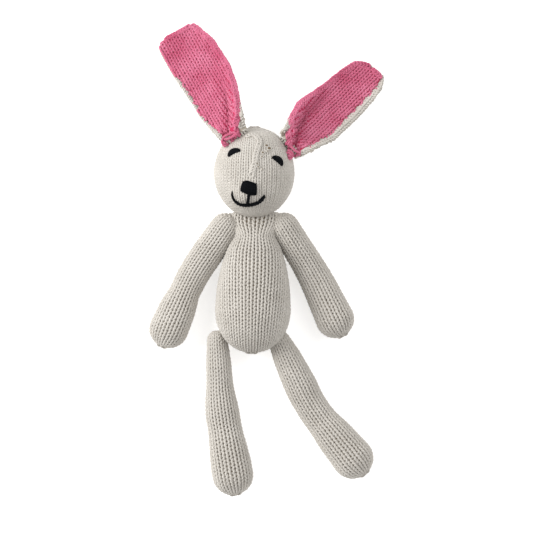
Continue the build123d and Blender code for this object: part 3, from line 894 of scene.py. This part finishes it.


def shade_sheet(name, ear, lining, low, high, material):
    """Thin closed sheet of painted shade between two levels of the ear, every edge sealed; it shows in the
    gaps between the stitches.
    """
    skin = ear.skin(lining)
    kept = (slice(*LINING_COLUMNS) if lining else slice(None, None, 2), slice(None, None, 2))
    top = skin.points[kept] + skin.normals[kept] * high
    bottom = skin.points[kept] + skin.normals[kept] * low
    across, along = top.shape[:2]
    n = across * along
    upper = grid_quads(np.arange(across), along)
    rim = np.concatenate([
        np.arange(across) * along,
        (across - 1) * along + np.arange(1, along),
        np.arange(across - 2, -1, -1) * along + along - 1,
        np.arange(along - 2, 0, -1),
    ])
    after = np.roll(rim, -1)
    wall = np.stack([rim, rim + n, after + n, after], -1)
    faces = np.concatenate([upper, upper[:, ::-1] + n, wall])
    if ear.side > 0:
        faces = faces[:, ::-1]
    return make_piece(name, np.concatenate([top.reshape(-1, 3), bottom.reshape(-1, 3)]), [faces], material)


EAR_EDGES = {      # along, outer, inner
    "left": [(0, 8.2, 14.0), (14, 10.4, 18.2), (32, 12.9, 21.8), (44, 13.8, 24.4), (60, 14.7, 27.4),
             (84, 16.0, 25.9), (98, 15.8, 21.4), (103.6, 14.2, 19.4), (107, 4.4, 15.0)],
    "right": [(0, 8.5, 15.6), (14, 12.2, 19.6), (32, 17.6, 23.2), (60, 18.4, 19.6), (82, 17.0, 17.6),
              (92, 14.8, 15.8), (98, 12.0, 8.0), (100.5, 8.5, -3.0)],
}
EAR_TRIMS = {      # along, how far the lining stops short of the outer and inner edges
    "left": [(0, 1.8, 7.4), (8, 1.6, 5.6), (14, 1.4, 3.8), (24, 0.5, 1.6), (36, 0.3, 0.4), (46, 1.2, 0.0),
             (60, 1.1, 0.0), (70, 0.8, 0.0), (76, 0, 0)],
    "right": [(0, 1.8, 7.0), (8, 2.2, 4.0), (14, 2.4, 1.6), (30, 3.0, 0.3), (56, 3.7, 0.0), (75, 3.4, 0.0),
              (90, 2.2, 0.4), (98, 1.2, 0.8)],
}
EAR_RAGGED = {"left": 1.3, "right": 1.8}
BORDER_INSETS = (0.9, 2.4, 4.0, 5.6)
BORDER_SUNK, BORDER_LEAST = 1.9, 1.9    # depth of the border where the lining hides it, and height
EAR_TAILS = {      # across, along and height of the loose yarn ends at the foot of the ear
    "left": [[(5.0, 1.4, 2.0), (1.0, 2.2, 1.8), (-3.4, 2.8, 1.4), (-6.8, 1.6, 0.4), (-8.0, -0.8, -1.6),
              (-7.2, -3.0, -3.4)],
             [(-5.0, 0.4, 1.2), (-1.0, -0.9, 1.4), (3.4, -0.6, 1.4), (7.6, 1.2, 0.6)]],
    "right": [[(-0.9 + r * cos(a), -6.6 + r * sin(a), h) for r, a, h in (
                  (3.6, 0.5, 1.6), (3.2, 1.6, 0.8), (3.0, 2.8, -0.2), (2.9, 3.9, -1.4), (2.8, 5.0, -1.8),
                  (2.5, 6.0, -0.8), (1.9, 7.1, 0.4), (1.3, 8.4, 0.8), (1.1, 9.8, 0.2), (0.9, 11.2, -0.4))],
              [(-6.0, 1.2, 0.8), (-1.0, -0.8, 1.5), (4.2, -0.4, 1.2), (8.0, 2.0, 0.4)]],
}


def knit_lining(ear, ragged):
    """Pink rows, with a chain over the tip and another down the inner edge."""
    lining = knit_sheet(ear, True, yarn=0.9, depth=0.66, seed=11, ragged=ragged)
    tip = np.stack([np.linspace(0.06, 0.94, 90), np.full(90, ear.length - 1.6)], 1)
    rise = np.linspace(ear.length - 2.0, 2.0, 120)
    selvedge = np.stack([1 - 1.3 / np.add(*ear.reach(rise, True)), rise], 1)
    for line, lift, link, wide in ((tip, 2.3, 3.0, 2.4), (selvedge, 2.0, 3.4, 3.4)):
        chain(lining, *ear.skin(True).at(*line.T, lift), link, wide, 0.78, seed=15)
    return lining


def sew_border(ear):
    """Cream stitches around the back panel, standing up where the lining stops short of them."""
    edge = Yarns()
    for number, inset in enumerate(BORDER_INSETS):
        share, rise = ear.outline(inset).T
        outer_trim, inner_trim = ear.trim(rise)
        outer_shown = 1.7 * outer_trim + 2.0 * ease(outer_trim, 0.2, 0.9)
        shown = np.where(share < 0.5, outer_shown, np.minimum(inner_trim, 4.6))
        sunk = BORDER_SUNK * ease(shown, inset - 0.9, inset + 0.4) - BORDER_SUNK
        centres, normals = ear.skin(False).at(share, rise, sunk)
        centres[:, 2] = np.maximum(centres[:, 2], BORDER_LEAST)
        if number:
            chain(edge, centres + (0.22 * inset - 0.8) * normals, normals, 3.3, 2.5, 0.8, seed=14 + number)
        else:
            whip(edge, centres, normals, coil=0.7, pitch=2.1, yarn=0.72, seed=14, rough=0.25)
    return edge


def sew_base(ear, tails):
    """Gathered pink lip across the foot of the ear, and the loose ends sewn down over it."""
    base = Yarns()
    across = np.linspace(-6.8, 7.2, 60)
    foot = ear.surface(across, np.zeros(60)) + 0.8 * ear.up
    whip(base, foot, np.broadcast_to(ear.up, foot.shape), coil=1.9, pitch=2.2, yarn=0.85, seed=16)
    for tail in tails:
        line = drawn(tail)
        path = ear.hinge + line[:, :1] * ear.inner + line[:, 1:2] * ear.along + line[:, 2:] * ear.up
        plied(base, path, np.broadcast_to(ear.up, path.shape), 1.15, twist=3.4)
    return base


def sew_root(ear):
    """Cream yarn between the foot of the ear and the head."""
    root = Yarns()
    across = np.linspace(-7.5, 13.5, 80)[:, None]
    for drop, coil in ((4.2, 2.4), (7.4, 2.2)):
        line = ear.hinge + across * ear.inner + 1.2 * ear.along - drop * ear.up
        whip(root, line, np.broadcast_to(ear.up, line.shape), coil, pitch=2.1, yarn=0.85, seed=17)
    return root


ear_pieces = {}
for side, placed in EARS.items():
    ear = Ear(*placed, EAR_EDGES[side], EAR_TRIMS[side])
    # Each ear's two sheets are painted shade, which shows between the stitches of its lining and of its
    # back.
    ear_pieces[side] = (
        knit_lining(ear, EAR_RAGGED[side]).piece(f"{side}_ear_lining_knit", PINK),
        shade_sheet(f"{side}_ear_lining_shade", ear, True, 0.9, 1.4, PINK_SHADE),
        knit_sheet(ear, False, 0.84, 0.62, seed=13, ragged=0.2).piece(f"{side}_ear_back_knit", CREAM),
        shade_sheet(f"{side}_ear_back_shade", ear, False, -0.75, -0.25, UNDERLAY_IN_SHADE),
        sew_border(ear).piece(f"{side}_ear_edge_whip", CREAM),
        sew_base(ear, EAR_TAILS[side]).piece(f"{side}_ear_base_yarn", PINK),
        sew_root(ear).piece(f"{side}_ear_root", CREAM),
        ear,
    )


# ------------ bodies
def rides(piece, body, slot, *nodes):
    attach(piece, body)
    if nodes:
        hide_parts(*nodes)


def bends(piece, upper, lower, pivot, start, end, slot, *nodes, reach=11.0):
    """Bakes the limb piece's placement into its mesh and hides the CAD nodes it replaces."""
    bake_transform(piece)
    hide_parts(*nodes)


rides(torso_knit, "torso", "cream_yarn", "body_skin")
rides(torso_core, "torso", "wadding", "body_stuffing")
rides(head_knit, "head", "cream_yarn", "head_skin")
rides(head_core, "head", "wadding", "head_stuffing")
for limb, (knit, core, start, pivot, end) in limbs.items():
    side, part = limb.split("_")
    upper, lower = ("upper_arm", "forearm") if part == "arm" else ("thigh", "shin")
    bodies = (f"{side}_{upper}", f"{side}_{lower}")
    bends(knit, *bodies, pivot, start, end, "cream_yarn", *(f"{b}_skin" for b in bodies))
    bends(core, *bodies, pivot, start, end, "wadding", *(f"{b}_stuffing" for b in bodies))

face = {"left_eye": left_eye, "right_eye": right_eye, "nose": nose_satin, "mouth": mouth_line}
for node, piece in face.items():
    rides(piece, "head", "black_yarn", node)
rides(forehead_chain, "head", "cream_yarn", "forehead_seam")
rides(crown_thread, "head", "cream_yarn", "crown_gather_thread")
rides(forehead_rims, "head", "cream_yarn")
# The dark discs in the forehead holes are painted shade.
rides(forehead_hole_shade, "head", "wadding")
rides(neck_seam, "neck", "cream_yarn", "neck_stitches")
rides(neck_thread, "torso", "cream_yarn", "neck_gather_thread")
rides(base_thread, "torso", "cream_yarn", "base_gather_thread")
SEAT = 17.0    # from the torso's bottom up to the point that both hip seams face
for side, inward in (("left", 1), ("right", -1)):
    pivot = np.array(ARMS[side][0])
    ring = seam(f"{side}_shoulder_seam", pivot + [inward * 8.5, 0, 0], (inward, 0, 0), 9.4, seed=22)
    rides(ring, f"{side}_shoulder", "cream_yarn", f"{side}_shoulder_stitches")
    string = drawstring(f"{side}_hand_drawstring", limb_forms[f"{side}_arm"], seed=33)
    rides(string, f"{side}_forearm", "cream_yarn", f"{side}_hand_gather_thread")
    top = np.array(LEG_SHAPES[side][0])
    heading = unit(TORSO_BOTTOM + np.array([0, SEAT, 0]) - top)
    ring = seam(f"{side}_hip_seam", top + heading * 4.4, heading, 6.4, seed=23)
    rides(ring, f"{side}_hip", "cream_yarn", f"{side}_hip_stitches")
    string = drawstring(f"{side}_foot_drawstring", limb_forms[f"{side}_leg"], seed=34)
    rides(string, f"{side}_shin", "cream_yarn", f"{side}_foot_gather_thread")

for side, (lining, lining_shade, back, back_shade, edge, base, root, ear) in ear_pieces.items():
    body = f"{side}_ear"
    rides(lining, body, "pink_yarn", f"{body}_lining")
    rides(lining_shade, body, "pink_yarn")
    rides(back, body, "cream_yarn", f"{body}_back")
    rides(back_shade, body, "cream_yarn")
    rides(edge, body, "cream_yarn", f"{body}_edge_stitches")
    rides(base, body, "pink_yarn", f"{body}_base_stitches")
    rides(root, body, "cream_yarn")
    panels = ((lining_shade, True, [lining, base]), (back_shade, False, [back, edge, root]))
    for sheet, is_lining, attached in panels:
        stations = np.linspace(0, ear.length, 60)
        outer, inner = ear.reach(stations, is_lining)

# ------------ studio
bpy.ops.mesh.primitive_plane_add(size=6, location=(0, 0, -0.0003))
table = bpy.context.object
table.name = "table"
plain, plain_tree, plain_shader = node_material("table_top")
feed(plain_tree, plain_shader, {"Base Color": (0.93, 0.93, 0.93, 1), "Roughness": 0.9})
feed(plain_tree, plain_shader, {"Emission Color": (1, 1, 1, 1), "Emission Strength": 0.5})
table.data.materials.append(plain)


def area_light(name, place, size, power):
    """Round white light that faces the toy."""
    data = bpy.data.lights.new(name, "AREA")
    data.shape, data.size, data.energy = "DISK", size, power
    light = bpy.data.objects.new(name, data)
    light.location = place
    light.rotation_mode = "QUATERNION"
    light.rotation_quaternion = (-Vector(place)).to_track_quat("-Z", "Y")
    bpy.context.scene.collection.objects.link(light)


area_light("key", (-1.4, 0.5, 1.05), size=1.3, power=30)
area_light("fill", (0.9, 0.6, 1.6), size=1.4, power=9.5)
world = bpy.data.worlds.new("studio")
world.use_nodes = True
background = world.node_tree.nodes["Background"]
feed(world.node_tree, background, {"Color": (1, 1, 1, 1), "Strength": 0.59})
bpy.context.scene.world = world
bpy.context.scene.view_settings.view_transform = "Standard"

LENS, SENSOR = 250, 36
VIEW_WIDTH = 0.4264    # metres seen across the picture at the height of the view's middle
VIEW_MIDDLE = (-0.0004, -0.006, 0.012)
camera_data = bpy.data.cameras.new("camera")
camera_data.lens, camera_data.sensor_width = LENS, SENSOR
camera_data.clip_end = 20
camera = bpy.data.objects.new("camera", camera_data)
camera.location = Vector(VIEW_MIDDLE) + Vector((0, 0, VIEW_WIDTH * LENS / SENSOR))
bpy.context.scene.collection.objects.link(camera)
bpy.context.scene.camera = camera
